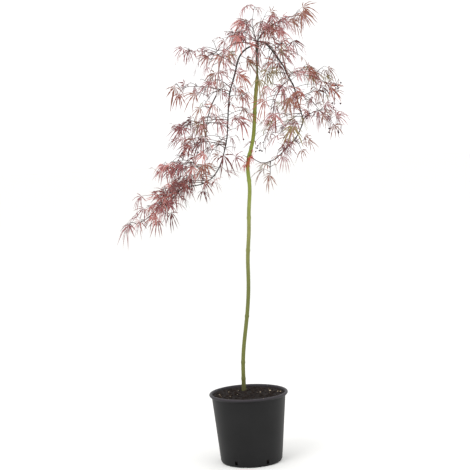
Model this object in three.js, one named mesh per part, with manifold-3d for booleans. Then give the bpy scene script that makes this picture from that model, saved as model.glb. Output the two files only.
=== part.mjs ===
// A grafted weeping maple in a round nursery pot: a slender green trunk with a dark fork at its
// head, arching boughs, and masses of finely cut leaves that hang from them.
// Lengths are millimetres and angles are degrees. +X is right, +Y is away, +Z is up, and the
// origin is the middle of the pot's flat underside.

import * as THREE from 'three';
import { mergeVertices } from 'three/addons/utils/BufferGeometryUtils.js';
import Module from 'manifold-3d';

const wasm = await Module();
wasm.setup();

// Clear space between two pieces that meet, and the distance within which corners are one corner.
const CLEARANCE = 0.3;
const WELD = 1e-4;

// Pot: a tapering moulded shell with a rolled lip, a rounded foot and drainage slots.
const POT_HEIGHT = 168.7;
const LIP_RADIUS = 95;
const LIP_THICKNESS = 3.4;
const WALL_TOP_RADIUS = 89;
const WALL_FOOT_RADIUS = 75.3;
const FOOT_RISE = 14;
const FOOT_RADIUS = 69;
const WALL_THICKNESS = 1.8;
const LIP_UNDERCUT = 2;
const LIP_ROUND = 1.5;
const FLOOR_THICKNESS = 2.4;
const WALL_TOP = POT_HEIGHT - 2 * LIP_THICKNESS - LIP_UNDERCUT;
const FOOT_CURVE_STEPS = 3;
const POT_SIDES = 36;
const SLOT_COUNT = 6;
const SLOT_WIDTH = 7;
const SLOT_DEPTH = 30;
const SLOT_BOTTOM = 6;
const SLOT_TOP = 16;

// Compost: a little below the top of the lip, with a level top in the middle for the trunk, which
// stands behind the middle of the pot.
const SOIL_EDGE = 163.5;
const SOIL_MOUND = 168;
const SOIL_SEAT_RADIUS = 33;
const SOIL_SWELL = 1;

// Trunk: a leaning rod from its flat cut on the compost to the head where the boughs fork.
const TRUNK_FOOT = { x: -7, y: 20 };
const TRUNK_HEAD = { x: 62, y: 0, z: 1005 };
const FLARE_RADIUS = 5.6;
const FLARE_HEIGHT = 14;
const STOCK_FOOT_RADIUS = 4.15;
const STOCK_TOP_RADIUS = 3.75;
const GRAFT_HEIGHT = 922;
const GRAFT_STEP = 7;
const SCION_RADIUS = 2.5;
const HEAD_RADIUS = 5.4;
const HEAD_SPREAD = 11;
const TRUNK_SIDES = 8;
const TRUNK_RING_STEP = 26;
const TRUNK_RING_APART = 10;

// Sideways kinks of the trunk: a height, how far it strays in X and Y, and over what spread.
const KINKS = [
  { z: 250, x: -8, y: 3, spread: 90 },
  { z: 500, x: -5, y: -5, spread: 60 },
  { z: 612, x: -6, y: -4, spread: 60 },
  { z: 714, x: -12, y: 4, spread: 46 },
  { z: 920, x: 3, y: 0, spread: 40 },
];

// Bud rings stand out of the trunk at these heights.
const BUD_RINGS = [197, 237, 350, 510, 588, 677, 738, 837, 891];
const BUD_RING_HEIGHT = 0.75;
const BUD_RING_SPREAD = 4;

// Boughs: how far along each bend lies, the pitch there and the heading, 0 for +X and 90 for +Y.
// A pitch of 90 is straight up, and one below -90 turns back under itself. Each bough is split
// at the joints, and it keeps one taper from its first radius to its last.
const BOUGHS = {
  left: {
    start: [62, 0, 996],
    bends: [
      [0, -2, 188], [12, -14, 188], [30, -34, 188], [58, -66, 188], [76, -75, 188], [128, -70, 188],
      [150, -82, 188], [222, -86, 188], [262, -76, 188], [305, -70, 188], [345, -46, 188],
      [375, -18, 188], [396, -4, 188], [412, -10, 188], [440, -40, 188],
    ],
    joints: [['arch', 79], ['shoulder', 146], ['fall', 273], ['sweep', 380], ['tail', 436]],
    radii: [2.0, 0.9],
  },
  right: {
    start: [60, 0, 1002],
    bends: [
      [0, 28, 10], [8, 0, 10], [24, -42, 10], [45, -54, 10], [84, -57, 10], [108, -70, 10],
      [124, -61, 10], [142, -64, 10], [152, -79, 10], [222, -74, 10], [238, -113, 16],
      [264, -121, 16], [288, -138, 16], [342, -140, 16], [354, -162, 16], [372, -188, 16],
    ],
    joints: [['arch', 119], ['shoulder', 179], ['fall', 229], ['return', 283], ['inner', 366]],
    radii: [2.0, 0.9],
  },
  back_left: {
    start: [60, 0, 993],
    bends: [[0, 28, 128], [30, 12, 128], [85, -10, 130], [130, -45, 132], [175, -72, 130], [240, -83, 128]],
    joints: [['arch', 128], ['fall', 238]],
    radii: [1.6, 0.9],
  },
  front_left: {
    start: [60, 0, 989],
    bends: [[0, 26, 233], [35, 8, 233], [90, -12, 231], [135, -48, 230], [180, -74, 232], [240, -85, 234]],
    joints: [['arch', 132], ['fall', 236]],
    radii: [1.6, 0.9],
  },
  back_right: {
    start: [63, 0, 996],
    bends: [[0, 26, 60], [25, 6, 60], [62, -24, 60], [105, -55, 62], [150, -76, 60], [190, -82, 58]],
    joints: [['arch', 80], ['fall', 178]],
    radii: [1.6, 0.9],
  },
  front_right: {
    start: [63, 0, 990],
    bends: [[0, 24, 304], [30, 4, 304], [70, -28, 303], [110, -58, 301], [155, -77, 303], [190, -82, 305]],
    joints: [['arch', 84], ['fall', 172]],
    radii: [1.6, 0.9],
  },
};
const BOUGH_SIDES = 5;
const BOUGH_RING_STEP = 18;
const WALK_STEP = 3;

// Masses of foliage. Each grows from one stem: the bough and the place along it where the stem
// springs, its heading, its pitch at the start and the end, its length and its leaf size.
// A mass with no bough springs from the trunk at a height.
const MASSES = [
  ['left_shoulder_foliage', 'left', 78, 177, 46, -4, 120, 38],
  ['left_upper_foliage', 'left', 145, 178, 30, -10, 122, 40],
  ['left_upper_front_foliage', 'left', 139, 236, 22, -40, 92, 40],
  ['left_upper_back_foliage', 'left', 131, 130, 44, -18, 92, 40],
  ['left_middle_foliage', 'left', 205, 182, 8, -18, 98, 40],
  ['left_lower_foliage', 'left', 272, 177, 40, -30, 92, 42],
  ['left_lower_front_foliage', 'left', 265, 240, 14, -46, 84, 40],
  ['left_lower_back_foliage', 'left', 257, 108, 24, -40, 80, 40],
  ['left_sweep_foliage', 'left', 379, 182, 108, -50, 124, 42],
  ['left_sweep_front_foliage', 'left', 371, 202, 12, -24, 84, 42],
  ['left_sweep_back_foliage', 'left', 363, 162, 12, -24, 84, 42],
  ['left_tail_foliage', 'left', 435, 189, -48, -20, 130, 42],
  ['left_tail_front_foliage', 'left', 428, 210, -16, -46, 84, 42],
  ['left_tail_back_foliage', 'left', 420, 166, -8, -40, 84, 42],
  ['right_shoulder_foliage', 'right', 118, 4, 34, -36, 94, 40],
  ['right_inner_foliage', 'right', 111, 202, 14, -26, 70, 38],
  ['right_upper_foliage', 'right', 178, 2, 36, -10, 74, 40],
  ['right_upper_front_foliage', 'right', 171, 300, 12, -46, 84, 40],
  ['right_upper_back_foliage', 'right', 163, 66, 12, -46, 84, 40],
  ['right_middle_foliage', 'right', 228, 3, 46, -14, 70, 42],
  ['right_lower_front_foliage', 'right', 221, 236, 11, -42, 84, 40],
  ['right_lower_back_foliage', 'right', 213, 150, 8, -40, 84, 40],
  ['right_return_foliage', 'right', 282, 285, -4, -30, 34, 32],
  ['right_inner_lower_foliage', 'right', 360, 250, -56, -78, 16, 24],
  ['back_left_upper_foliage', 'back_left', 127, 112, 14, -46, 88, 42],
  ['back_left_lower_foliage', 'back_left', 237, 140, -48, -78, 82, 42],
  ['front_left_upper_foliage', 'front_left', 131, 248, 14, -46, 88, 42],
  ['front_left_lower_foliage', 'front_left', 235, 222, -48, -78, 82, 42],
  ['back_right_upper_foliage', 'back_right', 79, 96, 26, -42, 94, 42],
  ['back_right_lower_foliage', 'back_right', 177, 112, -14, -56, 92, 42],
  ['front_right_upper_foliage', 'front_right', 83, 282, 26, -42, 94, 42],
  ['front_right_lower_foliage', 'front_right', 171, 240, -14, -56, 92, 42],
  ['top_left_foliage', null, 1000, 168, 70, 104, 80, 38],
  ['top_right_foliage', null, 1003, 18, 56, 6, 120, 40],
  ['top_back_foliage', null, 999, 52, 60, -14, 94, 42],
  ['top_front_foliage', null, 1000, 306, 60, -14, 94, 42],
  ['top_ridge_foliage', null, 998, 208, 64, -20, 76, 40],
  ['trunk_shoot_foliage', null, 716, 262, 62, 30, 26, 16],
  ['left_inner_foliage', 'left', 150, 14, 24, -30, 32, 34],
];
const STEM_RADIUS = 1.15;
const STEM_TIP_RADIUS = 0.75;
const STEM_STEP = 30;
const STEM_SIDES = 3;
const TWIG_RADIUS = 0.95;
const TWIG_TIP_RADIUS = 0.75;
const INTERNODE = 22;
const BARE_LENGTH = 16;

// Twigs come in pairs, one to each side of the stem, and the pairs rise and sink by turns. One
// more rises from the middle of the stem, and one ends it. Lengths are shares of the leaf's size.
const TWIG_LENGTH = 0.62;
const TWIG_SPREAD = 68;
const TWIG_PITCHES = [-8, 24];
const CREST_PITCH = 50;
const TWIG_SWING = 22;
const LEAF_SWING = 20;
const TWIG_VARIES = [0.75, 1.2];
const TRIES = 9;
const TRY_SHRINK = 0.07;
const TRY_SWING = 0.4;

// Leaf: a middle finger and two to each side round a small palm. Reaches are shares of its size.
const LOBES = [{ angle: 0, reach: 1 }, { angle: 38, reach: 0.88 }, { angle: 80, reach: 0.64 }];
const PALM = 0.17;
const PALM_BACK = 0.09;
const LEAF_THICKNESS = 0.045;
const LOBE_HANG = 0.2;
const LEAF_PITCHES = [-78, -26];
const LEAF_VARIES = [0.86, 1.14];

// Own space: a mass keeps nearer to its own stem than to any other, and clear of every limb and
// of the bare foot of every other stem. The middle of a space hangs below its stem by a share of
// the leaf's size.
const SPACE_MARGIN = 2.2;
const SPACE_REACH = 84;
const SPACE_HANG = 0.36;
const SPACE_STEP = 16;
const LIMB_MARGIN = 2.2;
const SAMPLE_STEP = 6.5;
const LEAF_GAP = 5;

const COLOURS = {
  pot: 0x2f2f30,
  soil: 0x2c231e,
  trunk: 0x85904a,
  bough: 0x3a322d,
  foliage: 0x7c4a43,
};

const radians = THREE.MathUtils.degToRad;

function direction(heading, pitch) {
  const h = radians(heading);
  const p = radians(pitch);
  return new THREE.Vector3(Math.cos(p) * Math.cos(h), Math.cos(p) * Math.sin(h), Math.sin(p));
}

// The same seed gives the same draws: each is the last one times a fixed factor, modulo a prime.
function seededDraws(seed) {
  const prime = 2147483647;
  const factor = 48271;
  const spread = 7919;
  const offset = 104729;
  let state = seed * spread + offset;
  return (low, high) => {
    state = (state * factor) % prime;
    return low + (high - low) * (state / prime);
  };
}

function solidOf(geometry) {
  geometry.deleteAttribute('normal');
  geometry.deleteAttribute('uv');
  const merged = mergeVertices(geometry, WELD);
  const vertProperties = new Float32Array(merged.attributes.position.array);
  const triVerts = new Uint32Array(merged.index.array);
  return new wasm.Manifold(new wasm.Mesh({ numProp: 3, vertProperties, triVerts }));
}

function geometryOf(solid) {
  const { vertProperties, triVerts } = solid.getMesh();
  const geometry = new THREE.BufferGeometry();
  geometry.setAttribute('position', new THREE.BufferAttribute(vertProperties, 3));
  geometry.setIndex(new THREE.BufferAttribute(triVerts, 1));
  return geometry;
}

// The largest body of a solid: loose scraps are dropped, and sealed hollows are filled.
function largest(solid) {
  return solid.decompose().reduce((best, body) => (body.volume() > best.volume() ? body : best));
}

// A closed tube round a line of points: a cylinder whose rings are moved onto the points, with a
// section that doesn't twist from one ring to the next.
function tube(points, radii, sides) {
  const last = points.length - 1;
  const geometry = new THREE.CylinderGeometry(1, 1, 1, sides, last);
  const tangents = points.map((point, i) => {
    const before = points[Math.max(i - 1, 0)];
    return points[Math.min(i + 1, last)].clone().sub(before).normalize();
  });
  const steep = Math.abs(tangents[0].z) > Math.abs(tangents[0].x);
  let normal = steep ? new THREE.Vector3(1, 0, 0) : new THREE.Vector3(0, 0, 1);
  const frames = tangents.map((tangent) => {
    normal = normal.clone().addScaledVector(tangent, -normal.dot(tangent)).normalize();
    return { normal, binormal: tangent.clone().cross(normal) };
  });
  const position = geometry.attributes.position;
  for (let i = 0; i < position.count; i++) {
    const ring = Math.round((0.5 - position.getY(i)) * last);
    const moved = points[ring].clone();
    moved.addScaledVector(frames[ring].normal, position.getX(i) * radii[ring]);
    moved.addScaledVector(frames[ring].binormal, position.getZ(i) * radii[ring]);
    position.setXYZ(i, moved.x, moved.y, moved.z);
  }
  return geometry;
}

function bendAt(bends, along) {
  const next = Math.max(1, bends.findIndex((bend) => bend[0] >= along));
  const [a, pitchA, headingA] = bends[next - 1];
  const [b, pitchB, headingB] = bends[next];
  const share = (along - a) / (b - a);
  return [
    THREE.MathUtils.lerp(pitchA, pitchB, share),
    THREE.MathUtils.lerp(headingA, headingB, share),
  ];
}

// Walks a limb from its start in short steps, turning as its bends say.
function walk(start, bends) {
  const length = bends.at(-1)[0];
  const steps = Math.ceil(length / WALK_STEP);
  const points = [start.clone()];
  for (let i = 0; i < steps; i++) {
    const [pitch, heading] = bendAt(bends, ((i + 0.5) * length) / steps);
    points.push(points.at(-1).clone().addScaledVector(direction(heading, pitch), length / steps));
  }
  return { points, length };
}

function pointAlong({ points, length }, along) {
  const place = THREE.MathUtils.clamp(along / length, 0, 1) * (points.length - 1);
  const i = Math.min(Math.floor(place), points.length - 2);
  return points[i].clone().lerp(points[i + 1], place - i);
}

// Evenly spaced places from one distance along a limb to another.
function stations(from, to, spacing) {
  const count = Math.max(1, Math.round((to - from) / spacing));
  return Array.from({ length: count + 1 }, (_, i) => from + ((to - from) * i) / count);
}

function distanceToLine(point, line) {
  let nearest = Infinity;
  const segment = new THREE.Line3();
  const foot = new THREE.Vector3();
  for (let i = 0; i < line.length - 1; i++) {
    segment.set(line[i], line[i + 1]).closestPointToPoint(point, true, foot);
    nearest = Math.min(nearest, foot.distanceTo(point));
  }
  return nearest;
}

// Trunk

function trunkCentre(z) {
  const share = (z - SOIL_MOUND) / (TRUNK_HEAD.z - SOIL_MOUND);
  const centre = new THREE.Vector3(
    THREE.MathUtils.lerp(TRUNK_FOOT.x, TRUNK_HEAD.x, share),
    THREE.MathUtils.lerp(TRUNK_FOOT.y, TRUNK_HEAD.y, share),
    z,
  );
  for (const kink of KINKS) {
    const weight = Math.exp(-(((z - kink.z) / kink.spread) ** 2));
    centre.x += kink.x * weight;
    centre.y += kink.y * weight;
  }
  return centre;
}

function trunkRadius(z) {
  const share = (z - SOIL_MOUND) / (GRAFT_HEIGHT - SOIL_MOUND);
  const stock = THREE.MathUtils.lerp(STOCK_FOOT_RADIUS, STOCK_TOP_RADIUS, share);
  const flare = (FLARE_RADIUS - STOCK_FOOT_RADIUS) * Math.exp(-(z - SOIL_MOUND) / FLARE_HEIGHT);
  const graft = THREE.MathUtils.smoothstep(z, GRAFT_HEIGHT - GRAFT_STEP, GRAFT_HEIGHT + GRAFT_STEP);
  const headRise = Math.exp(-(((z - TRUNK_HEAD.z + HEAD_SPREAD) / HEAD_SPREAD) ** 2));
  let radius = THREE.MathUtils.lerp(stock, SCION_RADIUS, graft) + flare;
  radius += (HEAD_RADIUS - SCION_RADIUS) * headRise;
  for (const ring of BUD_RINGS) {
    radius += BUD_RING_HEIGHT * Math.exp(-(((z - ring) / BUD_RING_SPREAD) ** 2));
  }
  return radius;
}

function trunkHeights() {
  const foot = SOIL_MOUND + CLEARANCE;
  const plain = stations(foot + 2 * FLARE_HEIGHT, TRUNK_HEAD.z - 2 * HEAD_SPREAD, TRUNK_RING_STEP);
  const flare = [foot, foot + FLARE_HEIGHT / 2, foot + FLARE_HEIGHT];
  const graft = [GRAFT_HEIGHT - GRAFT_STEP, GRAFT_HEIGHT + GRAFT_STEP];
  const head = [1.4, 0.8, 0.35, 0].map((drop) => TRUNK_HEAD.z - drop * HEAD_SPREAD);
  const buds = BUD_RINGS.flatMap((z) => [z - 2 * BUD_RING_SPREAD, z, z + 2 * BUD_RING_SPREAD]);
  const shaped = [...flare, ...buds, ...graft, ...head];
  const between = plain.filter((z) => shaped.every((other) => Math.abs(other - z) > TRUNK_RING_APART));
  return [...shaped, ...between].sort((a, b) => a - b);
}

function trunkGeometry(heights, grow) {
  const points = heights.map((z) => trunkCentre(z));
  const radii = heights.map((z) => trunkRadius(z) + grow);
  const geometry = tube(points, radii, TRUNK_SIDES);
  // The cut at the foot is level, so the lowest ring lies flat.
  const position = geometry.attributes.position;
  for (let i = 0; i < position.count; i++) {
    if (position.getZ(i) < heights[0] + FLARE_HEIGHT / 4) position.setZ(i, heights[0]);
  }
  return geometry;
}

// Pot and compost

function potOutline() {
  const lipCentre = LIP_RADIUS - LIP_THICKNESS;
  const outline = new THREE.Path();
  outline.moveTo(0, 0);
  outline.lineTo(FOOT_RADIUS, 0);
  outline.quadraticCurveTo(WALL_FOOT_RADIUS - 1, 1, WALL_FOOT_RADIUS, FOOT_RISE);
  outline.lineTo(WALL_TOP_RADIUS, WALL_TOP);
  outline.lineTo(LIP_RADIUS - LIP_ROUND / 2, WALL_TOP + LIP_UNDERCUT);
  outline.lineTo(LIP_RADIUS, WALL_TOP + LIP_UNDERCUT + LIP_THICKNESS);
  outline.lineTo(lipCentre + LIP_ROUND, POT_HEIGHT);
  outline.lineTo(lipCentre - LIP_ROUND, POT_HEIGHT - LIP_ROUND / 2);
  outline.lineTo(WALL_TOP_RADIUS - WALL_THICKNESS, WALL_TOP);
  outline.lineTo(WALL_FOOT_RADIUS - WALL_THICKNESS, FOOT_RISE);
  outline.lineTo(FOOT_RADIUS - WALL_THICKNESS, FLOOR_THICKNESS);
  outline.lineTo(0, FLOOR_THICKNESS);
  return outline.getPoints(FOOT_CURVE_STEPS);
}

function lathe(outline) {
  const geometry = new THREE.LatheGeometry(outline, POT_SIDES);
  geometry.rotateX(Math.PI / 2);
  return geometry;
}

function potSolid() {
  let pot = solidOf(lathe(potOutline()));
  for (let i = 0; i < SLOT_COUNT; i++) {
    const slot = new THREE.BoxGeometry(SLOT_DEPTH, SLOT_WIDTH, SLOT_TOP - SLOT_BOTTOM);
    slot.translate(WALL_FOOT_RADIUS, 0, (SLOT_TOP + SLOT_BOTTOM) / 2);
    slot.rotateZ((i * 2 * Math.PI) / SLOT_COUNT);
    pot = pot.subtract(solidOf(slot));
  }
  return largest(pot);
}

// The compost fills the pot just clear of its wall and floor.
function soilOutline() {
  const gap = WALL_THICKNESS + CLEARANCE;
  const bottom = FLOOR_THICKNESS + CLEARANCE;
  const share = (SOIL_EDGE - FOOT_RISE) / (WALL_TOP - FOOT_RISE);
  const edgeRadius = THREE.MathUtils.lerp(WALL_FOOT_RADIUS, WALL_TOP_RADIUS, share) - gap;
  return [
    new THREE.Vector2(0, bottom),
    new THREE.Vector2(FOOT_RADIUS - gap - CLEARANCE, bottom),
    new THREE.Vector2(WALL_FOOT_RADIUS - gap, FOOT_RISE + CLEARANCE),
    new THREE.Vector2(edgeRadius, SOIL_EDGE),
    new THREE.Vector2(edgeRadius / 2, SOIL_EDGE + SOIL_SWELL),
    new THREE.Vector2(SOIL_SEAT_RADIUS, SOIL_MOUND),
    new THREE.Vector2(0, SOIL_MOUND),
  ];
}

// Boughs

const ringHeights = trunkHeights();
const trunkSolid = solidOf(trunkGeometry(ringHeights, 0));
const trunkGrown = solidOf(trunkGeometry(ringHeights, CLEARANCE));

function boughRadius(bough, along) {
  const [first, end] = bough.radii;
  return THREE.MathUtils.lerp(first, end, along / bough.joints.at(-1)[1]);
}

function boughTube(bough, limb, from, to, grow) {
  const places = stations(from, to, BOUGH_RING_STEP);
  const points = places.map((along) => pointAlong(limb, along));
  const radii = places.map((along) => boughRadius(bough, along) + grow);
  return solidOf(tube(points, radii, BOUGH_SIDES));
}

// Each piece of a bough starts just clear of the one before, and the first one is cut back from
// the trunk. The grown copies are what later stems are cut back from.
function boughPieces(name, bough) {
  const limb = walk(new THREE.Vector3(...bough.start), bough.bends);
  const pieces = [];
  const grown = [];
  let from = 0;
  for (const [part, to] of bough.joints) {
    const whole = boughTube(bough, limb, from, to - CLEARANCE / 2, 0);
    const solid = largest(whole.subtract(grown.at(-1) ?? trunkGrown));
    pieces.push({ name: `${name}_bough_${part}`, solid });
    grown.push(boughTube(bough, limb, Math.max(0, from - CLEARANCE), to + CLEARANCE / 2, CLEARANCE));
    from = to;
  }
  return { limb, pieces, grown };
}

const boughs = Object.fromEntries(
  Object.entries(BOUGHS).map(([name, bough]) => [name, boughPieces(name, bough)]),
);

// What foliage keeps clear of: the trunk and the boughs as lines with a radius.
const limbLines = [
  { line: ringHeights.map((z) => trunkCentre(z)), radius: STOCK_FOOT_RADIUS },
  ...Object.entries(boughs).map(([name, { limb }]) => ({
    line: stations(0, BOUGHS[name].joints.at(-1)[1], SPACE_STEP).map((along) => pointAlong(limb, along)),
    radius: BOUGHS[name].radii[0],
  })),
];

// Foliage

function massStem([name, bough, at, heading, pitchStart, pitchEnd, length, size], index) {
  const start = bough ? pointAlong(boughs[bough].limb, at) : trunkCentre(at);
  const limb = walk(start, [[0, pitchStart, heading], [length, pitchEnd, heading]]);
  // The middle of the mass's own space hangs a little below its stem.
  const axis = stations(BARE_LENGTH, length, SPACE_STEP).map((along) => {
    const point = pointAlong(limb, along);
    point.z -= SPACE_HANG * size;
    return point;
  });
  const root = [start, axis[0]];
  return { name, bough, heading, pitchEnd, length, size, limb, axis, root, seed: index + 1 };
}

const stems = MASSES.map(massStem);

function inOwnSpace(point, own) {
  const distance = distanceToLine(point, own.axis);
  if (distance > SPACE_REACH) return false;
  return stems.every((stem) => stem === own || (
    distanceToLine(point, stem.axis) > distance + SPACE_MARGIN
    && distanceToLine(point, stem.root) > STEM_RADIUS + LIMB_MARGIN
  ));
}

function clearOfLimbs(point) {
  return limbLines.every(({ line, radius }) => distanceToLine(point, line) > radius + LIMB_MARGIN);
}

// A leaf hangs from the end of its twig: finger tips and the notches between them go round its
// palm, and the twig's own three corners close the outline at the back.
function makeLeaf(from, centre, heading, pitch, size) {
  const along = direction(heading, pitch);
  const upper = direction(heading, pitch + 90);
  const left = upper.clone().cross(along);
  const corner = (angle, reach, hang) => {
    const point = centre.clone().addScaledVector(along, Math.cos(radians(angle)) * reach * size);
    point.addScaledVector(left, Math.sin(radians(angle)) * reach * size);
    point.z -= hang * reach * size;
    return point;
  };
  const tip = (i, hand) => corner(hand * LOBES[i].angle, LOBES[i].reach, LOBE_HANG);
  const notch = (i, hand) => corner((hand * (LOBES[i].angle + LOBES[i + 1].angle)) / 2, PALM, 0);
  const leftSide = [tip(0, 1), notch(0, 1), tip(1, 1), notch(1, 1), tip(2, 1)];
  const rightSide = [tip(2, -1), notch(1, -1), tip(1, -1), notch(0, -1)];
  const rise = (LEAF_THICKNESS * size) / 2;
  const poles = [rise, -rise].map((offset) => centre.clone().addScaledVector(upper, offset));
  const twigWay = centre.clone().sub(from).normalize();
  const twigLeft = left.clone().addScaledVector(twigWay, -left.dot(twigWay)).normalize();
  const twigUp = twigWay.clone().cross(twigLeft);
  const twigRing = (middle, radius) => [30, 150, 270].map((turn) => (
    middle.clone()
      .addScaledVector(twigLeft, Math.cos(radians(turn)) * radius)
      .addScaledVector(twigUp, Math.sin(radians(turn)) * radius)
  ));
  const back = centre.clone().addScaledVector(twigWay, -PALM_BACK * size);
  const [backLeft, backRight, backDown] = twigRing(back, TWIG_TIP_RADIUS);
  const outline = [...leftSide, backLeft, backRight, ...rightSide];
  const root = twigRing(from, TWIG_RADIUS);
  const tips = [0, 2, 4, 7, 9].map((i) => outline[i]);
  return { from, centre, tips, outline, poles, backDown, root };
}

// One closed shell for a twig and its leaf. The faces run round the outline above and below, then
// along the three sides of the twig to its root.
function leafSolid({ outline, poles, backDown, root }) {
  const corners = [...outline, ...poles, backDown, ...root];
  const [left, right, top, bottom, down, rootLeft, rootRight, rootDown] = [5, 6, 11, 12, 13, 14, 15, 16];
  const faces = [];
  outline.forEach((_, i) => {
    const next = (i + 1) % outline.length;
    faces.push(top, i, next);
    if (i !== left) faces.push(bottom, next, i);
  });
  faces.push(bottom, down, left, bottom, right, down);
  faces.push(right, left, rootLeft, right, rootLeft, rootRight);
  faces.push(left, down, rootDown, left, rootDown, rootLeft);
  faces.push(down, right, rootRight, down, rootRight, rootDown);
  faces.push(rootRight, rootLeft, rootDown);
  const geometry = new THREE.BufferGeometry().setFromPoints(corners);
  geometry.setIndex(faces);
  return solidOf(geometry);
}

// Points along a leaf's fingers and its twig, close enough together that nothing slips between.
function samplesOf(leaf) {
  return [...leaf.tips, leaf.from].flatMap((end) => {
    const count = Math.ceil(leaf.centre.distanceTo(end) / SAMPLE_STEP);
    const reach = end === leaf.from ? count - 1 : count;
    return Array.from({ length: reach }, (_, j) => leaf.centre.clone().lerp(end, (j + 1) / count));
  });
}

function fits(samples, own, taken) {
  return samples.every((point) => (
    clearOfLimbs(point)
    && inOwnSpace(point, own)
    && taken.every((other) => other.distanceTo(point) > LEAF_GAP)
  ));
}

// A twig leaves its stem to one side with a leaf hanging from its tip. Where the leaf would leave
// the mass's space or touch a limb, the twig is drawn again, shorter each time, and then skipped.
function growTwig(from, heading, pitch, own, taken, draw) {
  for (let attempt = 0; attempt < TRIES; attempt++) {
    const shrink = 1 - TRY_SHRINK * attempt;
    const twigHeading = heading + draw(-TWIG_SWING, TWIG_SWING) * (1 + TRY_SWING * attempt);
    const twigPitch = pitch + draw(-TWIG_SWING, TWIG_SWING) / 2;
    const reach = own.size * TWIG_LENGTH * shrink * draw(...TWIG_VARIES);
    const centre = from.clone().addScaledVector(direction(twigHeading, twigPitch), reach);
    const leafHeading = twigHeading + draw(-LEAF_SWING, LEAF_SWING);
    const leafPitch = draw(...LEAF_PITCHES);
    const size = own.size * shrink * draw(...LEAF_VARIES);
    const leaf = makeLeaf(from, centre, leafHeading, leafPitch, size);
    const samples = samplesOf(leaf);
    if (fits(samples, own, taken)) {
      taken.push(...samples);
      return leaf;
    }
  }
  return null;
}

function massSolid(own) {
  const draw = seededDraws(own.seed);
  const { limb, length } = own;
  const places = stations(0, length, STEM_STEP);
  const points = places.map((along) => pointAlong(limb, along));
  const taper = STEM_TIP_RADIUS - STEM_RADIUS;
  const radii = places.map((along) => STEM_RADIUS + (taper * along) / length);
  let solid = solidOf(tube(points, radii, STEM_SIDES));
  const nodes = Math.max(1, Math.round((length - BARE_LENGTH) / INTERNODE));
  const taken = [];
  const addTwig = (from, heading, pitch) => {
    const leaf = growTwig(from, heading, pitch, own, taken, draw);
    if (leaf) solid = solid.add(leafSolid(leaf));
  };
  for (let node = 1; node <= nodes; node++) {
    const along = BARE_LENGTH + ((length - BARE_LENGTH) * node) / nodes;
    const from = pointAlong(limb, Math.min(along, length - 1));
    const pitch = TWIG_PITCHES[node % 2];
    addTwig(from, own.heading + TWIG_SPREAD, pitch);
    addTwig(from, own.heading - TWIG_SPREAD, pitch);
  }
  const tip = pointAlong(limb, length - 1);
  addTwig(tip, own.heading, own.pitchEnd);
  addTwig(pointAlong(limb, length / 2), own.heading, CREST_PITCH);
  const parents = own.bough ? boughs[own.bough].grown : [trunkGrown];
  for (const parent of parents) solid = solid.subtract(parent);
  return largest(solid);
}

// Assembly

function addPiece(plant, name, geometry, colour, roughness = 0.7) {
  const material = new THREE.MeshStandardMaterial({ color: colour, roughness, metalness: 0 });
  const mesh = new THREE.Mesh(geometry, material);
  mesh.name = name;
  plant.add(mesh);
}

const plant = new THREE.Group();
addPiece(plant, 'pot', geometryOf(potSolid()), COLOURS.pot, 0.45);
addPiece(plant, 'soil', lathe(soilOutline()), COLOURS.soil, 0.95);
addPiece(plant, 'trunk', geometryOf(trunkSolid), COLOURS.trunk);
for (const { pieces } of Object.values(boughs)) {
  for (const { name, solid } of pieces) addPiece(plant, name, geometryOf(solid), COLOURS.bough);
}
for (const stem of stems) {
  addPiece(plant, stem.name, geometryOf(massSolid(stem)), COLOURS.foliage);
}

export default plant;
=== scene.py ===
# %% [markdown]
# # A weeping maple in a nursery pot
# A grafted weeping maple is a straight green stem that a nursery raised, a dark head grafted on
# top, and boughs that arch out of the head and hang. Its leaves are cut into thin fingers, so the
# plant is more air than leaf. This lesson dresses the plain solids of the part with finer pieces,
# and everything stays where the solids are.

import math

import bpy
import numpy as np
from mathutils import Matrix, Vector


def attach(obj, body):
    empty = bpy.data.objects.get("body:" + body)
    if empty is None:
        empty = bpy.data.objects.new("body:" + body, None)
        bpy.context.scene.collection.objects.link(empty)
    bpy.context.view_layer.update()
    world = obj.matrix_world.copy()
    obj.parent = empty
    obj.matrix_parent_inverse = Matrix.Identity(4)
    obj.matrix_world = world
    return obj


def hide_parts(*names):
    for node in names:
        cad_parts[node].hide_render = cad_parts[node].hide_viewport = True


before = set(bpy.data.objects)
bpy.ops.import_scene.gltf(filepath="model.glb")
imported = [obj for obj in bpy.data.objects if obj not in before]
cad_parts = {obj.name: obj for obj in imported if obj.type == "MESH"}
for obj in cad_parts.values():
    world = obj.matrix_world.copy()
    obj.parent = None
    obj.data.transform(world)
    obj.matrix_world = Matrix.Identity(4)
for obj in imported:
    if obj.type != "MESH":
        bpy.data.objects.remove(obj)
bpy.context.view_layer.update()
NODES = sorted(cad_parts)
MM = 0.001

# %% [markdown]
# ## Small tools
# An operator in Blender acts on whatever is selected, so each step begins by selecting one object.
# A finished piece gets its name and material and moves with the plant's body, and the plain solids that
# it stands in for are hidden.

# %% Select, apply and finish


def only(piece):
    bpy.ops.object.select_all(action="DESELECT")
    piece.select_set(True)
    bpy.context.view_layer.objects.active = piece


def apply_modifiers(piece):
    only(piece)
    for modifier in list(piece.modifiers):
        bpy.ops.object.modifier_apply(modifier=modifier.name)


def roughen(piece, name, size, height, depth=2, middle=0.5, group=""):
    clouds = bpy.data.textures.new(name, "CLOUDS")
    clouds.noise_scale = size
    clouds.noise_depth = depth
    relief = piece.modifiers.new(name, "DISPLACE")
    relief.texture = clouds
    relief.texture_coords = "GLOBAL"
    relief.strength = height
    relief.mid_level = middle
    relief.vertex_group = group
    apply_modifiers(piece)


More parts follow.
